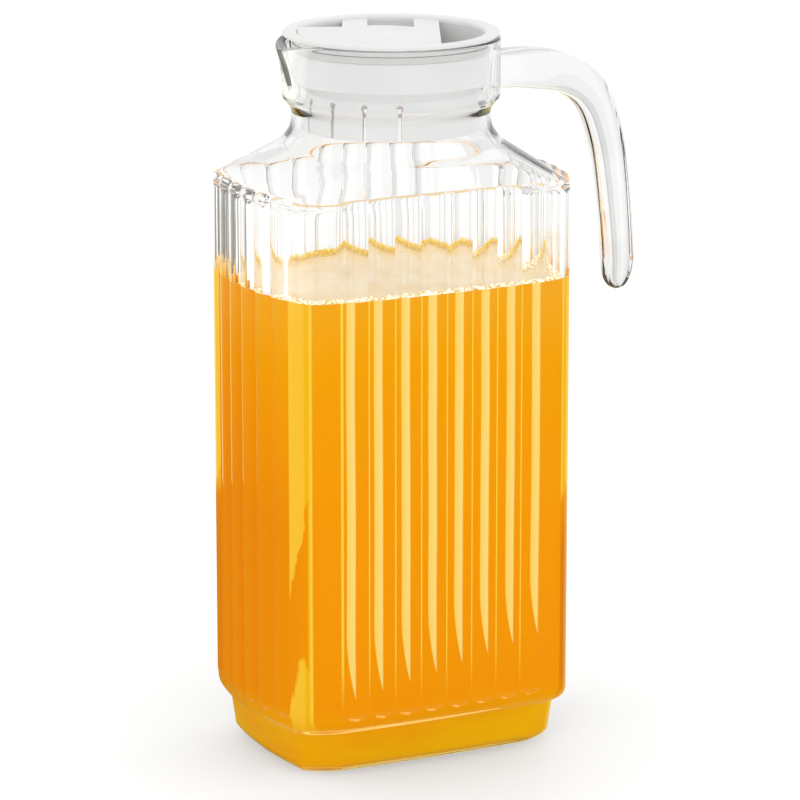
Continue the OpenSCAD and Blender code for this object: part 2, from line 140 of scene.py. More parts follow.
def end_angle(half, top):
    """Angle at the ends of such an arc."""
    return math.asin(half / ((half * half + top * top) / (2 * top)))


def face_line(half, out, bulge, count):
    """One face: place along it, distance out, and the place across a flute (-1 to 1)."""
    n = count * FLUTE_STEPS
    u = np.linspace(-half, half, n + 1)
    v = (np.arange(n + 1) % FLUTE_STEPS) * 2 / FLUTE_STEPS - 1
    return u, out - bulge + rise(u, half, bulge), v


def corner_line(p, q, a, b, share):
    """Plain corner from p, leaving at angle a, to q, reached at angle b."""
    p, q = np.array(p), np.array(q)
    s, e = np.array([math.cos(a), math.sin(a)]), np.array([math.sin(b), math.cos(b)])
    d = q - p
    det = s[0] * e[1] - s[1] * e[0]
    k = p + s * (d[0] * e[1] - d[1] * e[0]) / det
    t = np.linspace(0, 1, CORNER_STEPS + 1)[1:-1, None]
    p1, q1 = p + (k - p) * share, q + (k - q) * share
    return p * (1 - t) ** 3 + p1 * 3 * t * (1 - t) ** 2 + q1 * 3 * t * t * (1 - t) + q * t**3


def plan(hw, hd, nb, wb, nh, wh, share):
    """Closed outline (N, 2) of the body, and the place across a flute at each point (N).

    hw and hd are half the width and depth, nb and wb the bulge of a narrow and a wide face, nh
    and wh half the length of each, and share says how far the corners' control points lie out.
    """
    u, o, f = face_line(wh, hd, wb, WIDE_FLUTES)
    wide, wide_f = np.stack([u, -o], 1), f
    u, o, f = face_line(nh, hw, nb, NARROW_FLUTES)
    narrow, narrow_f = np.stack([o, u], 1), f
    turn = corner_line([wh, wb - hd], [hw - nb, -nh], end_angle(wh, wb), end_angle(nh, nb),
                       share)
    back = turn[::-1] * [1, -1]
    none = np.ones(len(turn))
    side = np.concatenate([wide, turn, narrow, back])
    flutes = np.concatenate([wide_f, none, narrow_f, none])
    return np.concatenate([side, -side]), np.concatenate([flutes, flutes])


WIDE_HALF, NARROW_HALF = WIDE_FLUTES * WIDE_PITCH / 2, NARROW_FLUTES * NARROW_PITCH / 2
FLUTE_HALF = (WIDE_PITCH + NARROW_PITCH) / 4
BODY_SIZES = NARROW_BULGE, WIDE_BULGE, NARROW_HALF, WIDE_HALF, BODY_CORNER_SHARE
BODY, ACROSS = plan(BODY_W / 2, BODY_D / 2, *BODY_SIZES)
FOOT_HALF_W, FOOT_HALF_D = BODY_W / 2 - FOOT_INSET_X, BODY_D / 2 - FOOT_INSET_Y
FOOT_SIZES = (NARROW_BULGE * FOOT_BULGE_SHARE, WIDE_BULGE * FOOT_BULGE_SHARE,
              NARROW_HALF * FOOT_NARROW_SHARE, WIDE_HALF * FOOT_WIDE_SHARE, FOOT_CORNER_SHARE)
FOOT = plan(FOOT_HALF_W, FOOT_HALF_D, *FOOT_SIZES)[0]
DIRECTION = BODY / np.linalg.norm(BODY, axis=1)[:, None]


def inside_plan(wall):
    """Outline of the inside, this far in from the body's."""
    return plan(BODY_W / 2 - wall, BODY_D / 2 - wall, *BODY_SIZES)[0]


def inside_foot(sink):
    """Outline of the foot's inside, moved this far out into its glass."""
    wall = FOOT_WALL_T - sink
    return plan(FOOT_HALF_W - wall, FOOT_HALF_D - wall, *FOOT_SIZES)[0]


def drawn_in(points, d):
    """A foot outline made smaller by d on each side."""
    return points * [1 - d / FOOT_HALF_W, 1 - d / FOOT_HALF_D]


def ring(points, z):
    """Points (N, 3) of an outline at the height z."""
    return np.concatenate([points, np.full((len(points), 1), float(z))], 1)


def circle(r, z):
    """A round ring with its points in the body's directions."""
    return ring(DIRECTION * r, z)


def bezier(points, n, first=0):
    """n + 1 - first points along the Bezier curve of 3 or 4 control points."""
    p = [np.array(q, float) for q in points]
    out = []
    for i in range(first, n + 1):
        t = i / n
        q = p
        while len(q) > 1:
            q = [a * (1 - t) + b * t for a, b in zip(q, q[1:])]
        out.append(q[0])
    return out


def quarter(steps, first=0):
    """Angles from 0 to a right angle."""
    return [math.pi / 2 * i / steps for i in range(first, steps + 1)]


# Meshes
def new_object(name, verts, faces, sharp=None):
    """A smooth object from points in millimetres, sharp at edges over this angle."""
    mesh = bpy.data.meshes.new(name)
    mesh.from_pydata((np.asarray(verts) * MM).tolist(), [], faces)
    mesh.validate()
    obj = bpy.data.objects.new(name, mesh)
    bpy.context.scene.collection.objects.link(obj)
    smooth(obj, sharp)
    return obj


def smooth(obj, sharp=None):
    """Shades an object smooth, but for edges over the angle sharp, in degrees."""
    obj.data.shade_smooth()
    if sharp is not None:
        obj.data.set_sharp_from_angle(angle=math.radians(sharp))


def grid_faces(rows, n):
    """Faces between rows of n points that close round."""
    i = np.arange(n)
    j = (i + 1) % n
    faces = []
    for k in range(rows - 1):
        faces += np.stack([k * n + i, k * n + j, (k + 1) * n + j, (k + 1) * n + i], 1).tolist()
    return faces


def closed_stack(rings, first_tip=None, last_tip=None):
    """Vertices and faces of a closed skin through equal rings, with a fan at each end."""
    n, rows = len(rings[0]), len(rings)
    tips = [np.mean(rings[0], 0) if first_tip is None else first_tip,
            np.mean(rings[-1], 0) if last_tip is None else last_tip]
    verts = np.concatenate([*rings, np.array(tips)])
    faces = grid_faces(rows, n)
    a, b, last = rows * n, rows * n + 1, (rows - 1) * n
    faces += [[a, (i + 1) % n, i] for i in range(n)]
    faces += [[b, last + i, last + (i + 1) % n] for i in range(n)]
    return verts, faces


def join(obj, other):
    """Joins other to obj as one closed skin, and deletes it."""
    modifier = obj.modifiers.new("join", "BOOLEAN")
    modifier.operation, modifier.solver, modifier.object = "UNION", "MANIFOLD", other
    with bpy.context.temp_override(object=obj, active_object=obj):
        bpy.ops.object.modifier_apply(modifier=modifier.name)
    bpy.data.objects.remove(other)
    return obj


# The glass
def outside_base():
    """Rings of the outside from the underside to the crease, and the flutes' heights on each."""
    rings, heights = [], []

    def add(r, flutes=0.0):
        rings.append(r)
        heights.append(np.broadcast_to(flutes, len(r)))

    rest = drawn_in(FOOT, FOOT_DRAFT + FOOT_EDGE_R)
    for s in HOLLOW_SHARES:
        add(ring(rest * s, FOOT_HOLLOW * (1 - (s / HOLLOW_END_SHARE) ** 4)))
    add(ring(rest * HOLLOW_END_SHARE, HOLLOW_END_Z))
    add(ring(rest * FLAT_SHARE, 0))
    for a in quarter(FOOT_EDGE_STEPS):
        add(ring(drawn_in(FOOT, FOOT_DRAFT + FOOT_EDGE_R * (1 - math.sin(a))),
                 FOOT_EDGE_R * (1 - math.cos(a))))
    side_h = FOOT_H - FOOT_EDGE_R
    for t in FOOT_SIDE_SHARES:
        add(ring(drawn_in(FOOT, FOOT_DRAFT * (1 - t)), FOOT_EDGE_R + side_h * t))
    add(ring(drawn_in(FOOT, FOOT_TOP_IN), FOOT_H - FOOT_TOP_DROP))
    for a in quarter(STEP_STEPS):
        z = FOOT_H + STEP_H * (1 - math.cos(a))
        add(ring(FOOT * (1 - math.sin(a)) + BODY * math.sin(a), z))
    for t in np.linspace(0, 1, FLUTE_END_STEPS + 1):
        add(ring(BODY, FLUTE_LOW_Z + FLUTE_END_H * t), flute_end(t))
    for z in BODY_RINGS:
        add(ring(BODY, z), flute_end(1))
    edge_h, slope = SHOULDER_EDGE_H, circle(CREASE_R, CREASE_Z)
    corner = ring(BODY, SHOULDER_Z)
    along = slope - corner
    along /= np.linalg.norm(along, axis=1)[:, None]
    low = ring(BODY, SHOULDER_Z - edge_h)
    high = corner + along * edge_h
    for t in np.linspace(0, 1, SHOULDER_STEPS + 1):
        add(low * (1 - t) ** 2 + corner * 2 * t * (1 - t) + high * t * t, flute_end(1))
    for d in FADE_RINGS:
        fade = math.sqrt(max(1 - ((d - edge_h) / FLUTE_FADE) ** 2, 0))
        add(corner + along * d, flute_end(1) * fade)
    length = np.linalg.norm(slope - corner, axis=1)[:, None]
    start = FADE_RINGS[-1] / length
    for t in SLOPE_SHARES:
        add(corner + (slope - corner) * (start + (1 - start) * t))
    return rings, heights


def flute_end(t):
    """Heights of the flutes round the outline, at this share (0 to 1) of their round lower end."""
    across = np.minimum(np.hypot(ACROSS, 1 - t), 1)
    return rise(across * FLUTE_HALF, FLUTE_HALF, FLUTE_DEPTH)


def add_flutes(rings, heights):
    """Moves each ring outwards, square to the base skin, by the flutes' heights."""
    r = np.array(rings)
    around = np.roll(r, -1, 1) - np.roll(r, 1, 1)
    up = np.empty_like(r)
    up[1:-1] = r[2:] - r[:-2]
    up[0], up[-1] = r[1] - r[0], r[-1] - r[-2]
    normal = np.cross(around, up)
    normal /= np.linalg.norm(normal, axis=2)[:, :, None] + 1e-9
    return list(r + normal * np.array(heights)[:, :, None])


def neck_rings(foot_r, foot_z, waist_r, top_r):
    """Rings of the neck above the crease: waist, flare and the collar's lower corner."""
    waist, edge = [waist_r, NECK_Z], [top_r - COLLAR_EDGE_IN, COLLAR_Z - COLLAR_EDGE_DROP]
    low = bezier([[foot_r, foot_z],
                  [waist_r + (foot_r - waist_r) * CREASE_ARM_SHARE, foot_z + CREASE_ARM],
                  [waist_r, NECK_Z - WAIST_ARM_LOW], waist], NECK_STEPS)
    high = bezier([waist, [waist_r, NECK_Z + WAIST_ARM_HIGH],
                   [waist_r + (top_r - waist_r) * FLARE_ARM_SHARE, NECK_Z + FLARE_ARM], edge],
                  FLARE_STEPS, 1)
    corner = bezier([edge, [top_r, COLLAR_Z - COLLAR_EDGE_ARM],
                     [top_r, COLLAR_Z + COLLAR_EDGE_H]], COLLAR_EDGE_STEPS, 1)
    return [circle(r, z) for r, z in low + high + corner]


def spout_shift(rings, reach, half, low_z):
    """Pulls the rings of the collar out into a pinched spout at -X, and its lip down."""
    out = []
    for r in rings:
        r = r.copy()
        angle = np.degrees(np.arctan2(r[:, 1], -r[:, 0]))
        side = np.clip(1 - np.abs(angle) / half, 0, 1)
        rise_share = np.clip((r[:, 2] - low_z) / (RIM_Z - low_z), 0, 1)
        width = side ** (1.0 + SPOUT_PINCH * (1 - rise_share))
        push = reach * width * rise_share ** SPOUT_RISE_POWER
        flat = r[:, :2] / np.linalg.norm(r[:, :2], axis=1)[:, None]
        r[:, :2] += flat * push[:, None]
        near_top = np.clip((r[:, 2] - (RIM_Z - SPOUT_LIP_H)) / SPOUT_LIP_H, 0, 1)
        r[:, 2] -= SPOUT_DROP * side ** SPOUT_DROP_POWER * near_top
        out.append(r)
    return out


def collar_rings():
    """Rings over the collar and its spout, from the lower corner outside to the one inside."""
    e, in_r = RIM_EDGE_R, COLLAR_R - COLLAR_T
    outside = [circle(COLLAR_R, z) for z in COLLAR_RINGS]
    outside += [circle(COLLAR_R - e * (1 - math.cos(a)), RIM_Z - e * (1 - math.sin(a)))
                for a in quarter(RIM_STEPS)]
    outside += [circle(COLLAR_R - e - RIM_FLAT_OUT, RIM_Z), circle(in_r + e + RIM_FLAT_IN, RIM_Z)]
    inside = [circle(in_r + e * (1 - math.sin(a)), RIM_Z - e * (1 - math.cos(a)))
              for a in quarter(RIM_STEPS)]
    inside += [circle(in_r, z) for z in COLLAR_IN_RINGS]
    return (spout_shift(outside, SPOUT_REACH, SPOUT_HALF, COLLAR_Z - SPOUT_BELOW)
            + spout_shift(inside, SPOUT_REACH + SPOUT_DEEPER, SPOUT_HALF - SPOUT_NARROWER,
                          COLLAR_Z + SPOUT_ABOVE))


def shoulder_inside():
    """Rings under the shoulder, from the neck out and down to the inside wall."""
    edge_z = SHOULDER_Z - SHOULDER_IN_DROP
    neck = circle(CREASE_R - COLLAR_T, CREASE_Z - SHOULDER_IN_DROP)
    edge = ring(inside_plan(WALL_T), edge_z)
    low = ring(inside_plan(WALL_T), edge_z - SHOULDER_IN_EDGE_H)
    slope = [neck * (1 - t) + edge * t for t in SLOPE_IN_SHARES]
    return slope + [slope[-1] * (1 - t) ** 2 + edge * 2 * t * (1 - t) + low * t * t
                    for t in EDGE_IN_SHARES]


def jug_glass():
    """The body, neck and collar as one closed skin, from under the foot round to the floor."""
    neck = neck_rings(CREASE_R, CREASE_Z, NECK_R, COLLAR_R)
    neck_in = neck_rings(CREASE_R - COLLAR_T, CREASE_Z - SHOULDER_IN_DROP, NECK_R - COLLAR_T,
                         COLLAR_R - COLLAR_T)
    rings = (add_flutes(*outside_base()) + neck + collar_rings() + neck_in[::-1]
             + shoulder_inside() + cavity_rings(WALL_T, INSIDE_RINGS[0]))
    return new_object("jug_glass", *closed_stack(rings))


def cavity_rings(wall_t, top_z, sink=0.0):
    """Rings of the inside from top_z down to the floor, sunk this far into the foot's glass."""
    wall, foot = inside_plan(wall_t), inside_foot(sink)
    floor_z, floor_r = BASE_T - sink, BASE_T / 2
    top = [ring(wall, z) for z in INSIDE_RINGS if z <= top_z]
    high = ring(wall, FOOT_H + STEP_H + WALL_T / 2)
    low = ring(foot, FOOT_H - FOOT_WALL_T / 2)
    arm = (high[:, 2] - low[:, 2]).mean() * STEP_ARM_SHARE
    a, b = high - [0, 0, arm], low + [0, 0, arm * STEP_LOW_ARM_SHARE]
    step = [high * (1 - t) ** 3 + a * 3 * t * (1 - t) ** 2 + b * 3 * t * t * (1 - t) + low * t**3
            for t in np.linspace(0, 1, STEP_IN_STEPS + 1)]
    edge = [ring(drawn_in(foot, FOOT_DRAFT + floor_r * (1 - math.cos(x))),
                 floor_z + floor_r * (1 - math.sin(x))) for x in quarter(RIM_STEPS)]
    inner = drawn_in(foot, FOOT_DRAFT + floor_r)
    return top + step + edge + [ring(inner * s, floor_z) for s in FLOOR_SHARES]


# Handle outline in the plane of the spout: outer and inner points as (x, z)
HANDLE = [((37.2, 249.5), (37.2, 235.3)), ((40.0, 249.3), (40.0, 235.9)),
          ((47.0, 249.9), (47.0, 235.9)), ((53.7, 250.0), (53.0, 235.1)),
          ((62.6, 248.8), (59.5, 234.2)), ((69.8, 246.5), (65.0, 233.2)),
          ((77.0, 242.8), (69.8, 231.2)), ((82.9, 238.0), (73.6, 228.4)),
          ((87.3, 232.3), (76.8, 224.1)), ((90.6, 224.9), (79.2, 218.1)),
          ((93.7, 213.1), (81.6, 209.3)), ((95.8, 197.7), (83.7, 196.1)),
          ((97.2, 181.0), (85.7, 180.2)), ((97.9, 169.8), (86.6, 169.6))]
HANDLE_TIP = (92.0, 157.5)


def spline(points, per):
    """Catmull-Rom points through the given ones."""
    p = np.array(points, float)
    p = np.concatenate([[2 * p[0] - p[1]], p, [2 * p[-1] - p[-2]]])
    out = []
    for k in range(1, len(p) - 2):
        a, b, c, d = p[k - 1:k + 3]
        for t in np.arange(per) / per:
            out.append(0.5 * (2 * b + (c - a) * t + (2 * a - 5 * b + 4 * c - d) * t**2
                              + (3 * b - a - 3 * c + d) * t**3))
    out.append(p[-2])
    return np.array(out)


def section(width, depth, bevel, steps=6):
    """Rounded rectangle as (across, along depth) points."""
    a, b = width / 2 - bevel, depth / 2 - bevel
    points = []
    for cx, cy, start in ((a, b, 0), (-a, b, 90), (-a, -b, 180), (a, -b, 270)):
        for i in range(steps + 1):
            t = math.radians(start + 90 * i / steps)
            points.append((cx + bevel * math.cos(t), cy + bevel * math.sin(t)))
    return np.array(points)


def handle_glass():
    """The handle as a closed skin that starts inside the collar's wall."""
    outer = spline([o for o, _ in HANDLE], HANDLE_STEPS)
    inner = spline([i for _, i in HANDLE], HANDLE_STEPS)
    middle, half = (outer + inner) / 2, (outer - inner) / 2
    rings = []
    for m, h in zip(middle, half):
        depth = 2 * np.linalg.norm(h)
        side = h / np.linalg.norm(h)
        off = max(m[0] - COLLAR_R, 0)
        flare = 1 + HANDLE_FLARE_SHARE * math.exp(-off / HANDLE_FLARE_REACH)
        s = section(HANDLE_W * flare, depth, HANDLE_EDGE_R)
        rings.append(np.stack([m[0] + side[0] * s[:, 1], s[:, 0], m[1] + side[1] * s[:, 1]], 1))
    last, tip = rings[-1], np.array([HANDLE_TIP[0], 0, HANDLE_TIP[1]])
    centre = last.mean(0)
    for a in quarter(TIP_STEPS, 1)[:-1]:
        share = math.cos(a) ** HANDLE_TIP_POWER
        rings.append(centre + (last - centre) * share + (tip - centre) * math.sin(a))
    return new_object("handle_glass", *closed_stack(rings, last_tip=tip))


def outward(obj):
    """Turns a closed skin's faces outwards."""
    bm = bmesh.new()
    bm.from_mesh(obj.data)
    bmesh.ops.recalc_face_normals(bm, faces=bm.faces)
    bm.to_mesh(obj.data)
    bm.free()
    return obj


# Juice and foam
def juice_body():
    """The juice: its surface, which creeps up at the glass, and the skin down to the floor."""
    top = inside_plan(WALL_T - JUICE_OVERLAP)
    surface = [ring(top * s, LEVEL_Z + lift) for s, lift in SURFACE]
    rings = surface + cavity_rings(WALL_T - JUICE_OVERLAP, LEVEL_Z, FOOT_SINK)
    return outward(new_object("juice", *closed_stack(rings), sharp=50))


def ball(rows=5, n=8):
    """Unit ball points and faces."""
    rings = []
    for k in range(1, rows):
        a = math.pi * k / rows
        t = 2 * math.pi * np.arange(n) / n
        rings.append(np.stack([math.sin(a) * np.cos(t), math.sin(a) * np.sin(t),
                               np.full(n, math.cos(a))], 1))
    return closed_stack(rings, first_tip=np.array([0, 0, 1.0]), last_tip=np.array([0, 0, -1.0]))


def foam_ring():
    """Small bubbles along the line where the juice meets the glass."""
    rng = random.Random(FOAM_SEED)
    unit, unit_faces = ball()
    edge = inside_plan(WALL_T)
    lengths = np.linalg.norm(np.roll(edge, -1, 0) - edge, axis=1)
    total, starts = lengths.sum(), np.concatenate([[0], np.cumsum(lengths)])
    verts, faces, count = [], [], 0
    for _ in range(FOAM_BUBBLES):
        s = rng.random() * total
        k = int(np.searchsorted(starts, s, side="right") - 1)
        t = (s - starts[k]) / lengths[k]
        p = edge[k] * (1 - t) + edge[(k + 1) % len(edge)] * t
        inward = -p / np.linalg.norm(p)
        r = BUBBLE_R + BUBBLE_R_MORE * rng.random() ** BUBBLE_R_POWER
        depth = r * BUBBLE_OFF_SHARE + abs(rng.gauss(0, FOAM_SPREAD))
        z = LEVEL_Z + max(FOAM_H - depth * FOAM_SLOPE, 0) + rng.uniform(*FOAM_SCATTER)
        q = p + inward * depth
        verts.append(unit * r + [q[0], q[1], z])
        faces += [[v + count for v in f] for f in unit_faces]
        count += len(unit)
    return outward(new_object("foam", np.concatenate(verts), faces))


# Materials

# The glass, and the faint glow of its empty wide and narrow faces and of the spout, for the
# light they scatter
CLEAR, HANDLE_CLEAR = (0.985, 0.992, 0.99), (0.953, 0.957, 0.957)
WIDE_GLOW, NARROW_GLOW, SPOUT_GLOW = 0.024, 0.065, 0.12
# Places on the glass in metres: where the handle starts, along X plus a share of Z, the narrow
# faces' X, and the spout's X and Z. The glow of the empty glass starts a little above the drink.
HANDLE_LEAN, HANDLE_START, NARROW_FACE = 0.3, (0.1225, 0.1285), (0.050, 0.064)
SPOUT_X, SPOUT_Z, EMPTY_GAP = (-0.0375, -0.0395), (0.236, 0.240), 4 * MM
EMPTY_SOFT, NARROW_FACE_SOFT = 3 * MM, 2 * MM
# Faint glow of the juice, of its surface and of the foam
JUICE_GLOW, SURFACE_GLOW, FOAM_GLOW = 0.1, 0.06, 0.2
# Colours of the juice by its height, behind the wide and the narrow faces
WIDE_TONES = [(0.1, (0.77, 0.25, 0.0005)), (0.5, (0.78, 0.262, 0.0006)),
              (0.75, (0.77, 0.283, 0.0008)), (0.97, (0.76, 0.315, 0.001))]
# Behind the narrow faces the juice is painted darker: painted shade on the side faces
NARROW_SHADED_TONES = [(0.1, (0.72, 0.225, 0.0005)), (0.5, (0.71, 0.212, 0.0004)),
                (0.72, (0.75, 0.255, 0.0006)), (0.97, (0.76, 0.315, 0.001))]
# Its colours in the foot, beside a narrow face's grooves, and on a corner out of the light
FOOT_TONES = [(0.35, (0.74, 0.29, 0.0006)), (0.6, (0.75, 0.36, 0.001))]
GROOVE_SHADE, CORNER_SHADE = (0.66, 0.15, 0.0003), (0.62, 0.17, 0.0005)
# Colours of the light on it: across a band and a corner, and on the lines by the grooves
BAND_TONES = [(0.1, (0.83, 0.54, 0.1)), (0.9, (0.83, 0.59, 0.17))]
CORNER_TONES = [(0.0, (0.81, 0.47, 0.032)), (0.76, (0.81, 0.44, 0.026)),
                (0.83, (0.76, 0.4, 0.004)), (0.93, (0.77, 0.41, 0.006)),
                (0.97, (0.82, 0.52, 0.05))]
WIDE_LINE, NARROW_LINE = (0.83, 0.53, 0.05), (0.9, 0.7, 0.22)
# Where one colour gives way to another, from start to end in millimetres: distances from the
# middle for the faces and their tones, places along a narrow face, and heights
WIDE_AT, NARROW_AT, TONES_AT, FACE_SOFT = (35.9, 36.1), (50.9, 51.1), (46.0, 55.0), 0.2
SHADE_ALONG, LINES_ALONG, FAR_ALONG = (-28.0, 12.0), (0.0, 24.0), (-5.0, 5.0)
WIDE_LINES_Z, NARROW_LINES_Z, FOOT_Z = (21.0, 48.0), (84.0, 112.0), (27.0, 12.0)
UPPER_LIGHT_Z, LOWER_LIGHT_Z, LOWER_LIGHT_END_Z = (62.0, 67.0), (28.0, 23.0), (16.0, 21.0)
THIN_LIGHT_Z, FAR_LIGHT_Z, CORNER_SHADE_Z = (22.0, 30.0), (92.0, 104.0), (100.0, 70.0)
# The edges of the light on a corner slope across it and are ragged, and the tones drift, by
# these heights. The thin light at a corner's end is this share of the way across.
UPPER_SLOPE_H, LOWER_SLOPE_H, RAGGED_H, CLOUD_H = -40.0, -22.0, 40.0, 50.0
THIN_LIGHT_SHARE = 0.88, 0.92
# Colours of the juice's surface, the foam in front and behind, the lid, the seal and the floor
SURFACE_TONES = [(0.3, (0.8, 0.56, 0.25)), (0.7, (0.84, 0.66, 0.4))]
FOAM_FRONT_TONES = [(0.4, (0.7, 0.45, 0.05)), (0.5, (1.0, 0.93, 0.76))]
# The foam at the back is painted yellower: a painted backlight through the juice
FOAM_BACKLIT_TONES = [(0.35, (0.8, 0.48, 0.003)), (0.65, (0.9, 0.66, 0.1))]
LID_TONES = [(0.3, (0.69, 0.69, 0.685)), (0.7, (0.73, 0.73, 0.725))]
SEAL_TONES = [(0.3, (0.78, 0.78, 0.75)), (0.7, (0.84, 0.84, 0.81))]
FLOOR_TONES = [(0.3, (0.93, 0.93, 0.93)), (0.7, (0.945, 0.945, 0.945))]


class Shader:
    """A material with one Principled shader and short calls for its nodes."""

    def __init__(self, name):
        self.material = bpy.data.materials.new(name)
        self.material.use_nodes = True
        self.tree = self.material.node_tree
        self.main = next(n for n in self.tree.nodes if n.type == "BSDF_PRINCIPLED")
        self.place = self.node("ShaderNodeTexCoord").outputs["Object"]

    def node(self, kind, **values):
        """A new node with these input values and settings."""
        n = self.tree.nodes.new(kind)
        for key, value in values.items():
            if key in n.inputs:
                n.inputs[key].default_value = value
            else:
                setattr(n, key, value)
        return n

    def link(self, a, b):
        self.tree.links.new(a, b)

    def set(self, **values):
        """Sets inputs of the Principled shader, with _ for a space in a name."""
        for key, value in values.items():
            self.main.inputs[key.replace("_", " ")].default_value = value

    def noise(self, scale, detail=2.0, stretch=(1, 1, 1)):
        """Noise by the place on the object. A stretch under 1 draws it out along that axis."""
        mapping = self.node("ShaderNodeMapping")
        mapping.inputs["Scale"].default_value = stretch
        self.link(self.place, mapping.inputs["Vector"])
        n = self.node("ShaderNodeTexNoise", Scale=scale, Detail=detail)
        self.link(mapping.outputs["Vector"], n.inputs["Vector"])
        return n.outputs["Fac"]

    def ramp(self, fac, stops, colour=False):
        """Greys, or colours, between stops given as (place, value)."""
        n = self.node("ShaderNodeValToRGB")
        while len(n.color_ramp.elements) < len(stops):
            n.color_ramp.elements.new(0.5)
        for element, (at, value) in zip(n.color_ramp.elements, stops):
            element.position = at
            element.color = (*value, 1) if colour else (value, value, value, 1)
        self.link(fac, n.inputs["Fac"])
        return n.outputs["Color"]

    def math(self, operation, *values):
        n = self.node("ShaderNodeMath", operation=operation)
        for socket, value in zip(n.inputs, values):
            if isinstance(value, (int, float)):
                socket.default_value = value
            else:
                self.link(value, socket)
        return n.outputs[0]

    def product(self, *values):
        result = values[0]
        for value in values[1:]:
            result = self.math("MULTIPLY", result, value)
        return result

    def rises(self, value, start, end):
        """A smooth step from 0 to 1 as value goes from start to end."""
        n = self.node("ShaderNodeMapRange", interpolation_type="SMOOTHSTEP")
        self.link(value, n.inputs["Value"])
        n.inputs["From Min"].default_value, n.inputs["From Max"].default_value = start, end
        return n.outputs["Result"]

    def between(self, value, low, high, soft):
        """1 from low to high, and 0 outside, with soft edges."""
        up = self.rises(value, low - soft, low + soft)
        return self.product(up, self.rises(value, high + soft, high - soft))

    def mixed(self, share, a, b):
        """Colour a where the share is 0 and b where it is 1."""
        n = self.node("ShaderNodeMix", data_type="RGBA")
        self.link(share, n.inputs["Factor"])
        for socket, value in (("A", a), ("B", b)):
            target = next(i for i in n.inputs if i.name == socket and i.type == "RGBA")
            if isinstance(value, tuple):
                target.default_value = (*value, 1)
            else:
                self.link(value, target)
        return next(o for o in n.outputs if o.type == "RGBA")

    def split(self):
        """X, Y and Z of the place on the object, in metres."""
        parts = self.node("ShaderNodeSeparateXYZ")
        self.link(self.place, parts.inputs["Vector"])
        return [parts.outputs[k] for k in "XYZ"]

    def glow(self, colour, strength):
        """Colours the surface, and lets it glow faintly for the light it scatters."""
        self.link(colour, self.main.inputs["Base Color"])
        self.link(colour, self.main.inputs["Emission Color"])
        self.set(Emission_Strength=strength)
        self.material.cycles.emission_sampling = "NONE"

    def bump(self, fac, strength, distance):
        """A finely uneven surface, this many metres deep."""
        n = self.node("ShaderNodeBump", Strength=strength, Distance=distance)
        self.link(fac, n.inputs["Height"])
        self.link(n.outputs["Normal"], self.main.inputs["Normal"])


def glass_material():
    """Pressed glass, with slow waves. The handle is a little greyer, as it is thick glass."""
    s = Shader("pressed_glass")
    s.set(Transmission_Weight=1.0, IOR=1.5)
    s.bump(s.noise(22, 2, (1, 1, 0.35)), 0.25, 0.0006)
    s.link(s.ramp(s.noise(300, 3), [(0.35, 0.0), (0.8, 0.02)]), s.main.inputs["Roughness"])
    x, _, z = s.split()
    handle = s.rises(s.math("MULTIPLY_ADD", z, HANDLE_LEAN, x), *HANDLE_START)
    s.link(s.mixed(handle, CLEAR, HANDLE_CLEAR), s.main.inputs["Base Color"])
    empty = s.between(z, LEVEL_Z * MM + EMPTY_GAP, SHOULDER_Z * MM, EMPTY_SOFT)
    side = s.between(s.math("ABSOLUTE", x), *NARROW_FACE, NARROW_FACE_SOFT)
    spout = s.product(s.rises(x, *SPOUT_X), s.rises(z, *SPOUT_Z))
    walls = s.product(empty, s.math("MULTIPLY_ADD", side, NARROW_GLOW - WIDE_GLOW, WIDE_GLOW))
    glow = s.math("MAXIMUM", walls, s.product(spout, SPOUT_GLOW))
    s.link(glow, s.main.inputs["Emission Strength"])
    s.set(Emission_Color=(1.0, 0.97, 0.93, 1))
    s.material.cycles.emission_sampling = "NONE"
    return s.material


def face_axes(s):
    """Places in millimetres: along a wide face, along a narrow face, the height, and the
    distances from the middle."""
    x, y, z = (s.math("MULTIPLY", value, 1 / MM) for value in s.split())
    along_wide = s.product(x, s.math("MULTIPLY", s.math("SIGN", y), -1.0))
    along_narrow = s.product(y, s.math("MULTIPLY", s.math("SIGN", x), -1.0))
    return along_wide, along_narrow, z, s.math("ABSOLUTE", x), s.math("ABSOLUTE", y)


def repeated(s, u, start, pitch):
    """Distance from the last of the places that lie a pitch apart from start."""
    place = s.math("DIVIDE", s.math("SUBTRACT", u, start), pitch)
    return s.math("MULTIPLY", s.math("FRACT", place), pitch)


def gathered_light(s, u, z):
    """Share of the light bands that the flutes of a wide face gather, and the place across."""
    wobble = s.math("MULTIPLY_ADD", s.noise(26, 2, (1, 1, 0.5)), BAND_WOBBLE, -BAND_WOBBLE / 2)
    v = repeated(s, s.math("ADD", u, wobble), BAND_START, BAND_PITCH)
    low = s.math("MULTIPLY_ADD", u, BAND_END_SLOPE, BAND_END_Z)
    taper = s.math("MINIMUM", s.math("DIVIDE", s.math("SUBTRACT", z, low), BAND_TAPER_H), 1.0)
    start = s.math("MULTIPLY", s.math("POWER", s.math("SUBTRACT", 1.0, taper), 2.0), BAND_W)
    left = s.rises(s.math("SUBTRACT", v, start), -BAND_LEFT_SOFT, BAND_LEFT_SOFT)
    right = s.rises(v, BAND_W + BAND_RIGHT_SOFT, BAND_W - BAND_RIGHT_SOFT)
    last = BAND_START + (WIDE_FLUTES - 1) * BAND_PITCH + BAND_W
    on_face = s.between(u, BAND_START - BAND_ROOM, last + BAND_ROOM, FACE_SOFT / 2)
    return s.product(left, right, on_face), v


def groove_lines(s, u, pitch, half):
    """Share of the thin light lines beside the grooves."""
    v = repeated(s, u, LINE_START - half, pitch)
    line = s.rises(v, LINE_W + LINE_SOFT, LINE_W - LINE_SOFT)
    return s.product(line, s.between(u, -half, half, FACE_SOFT))


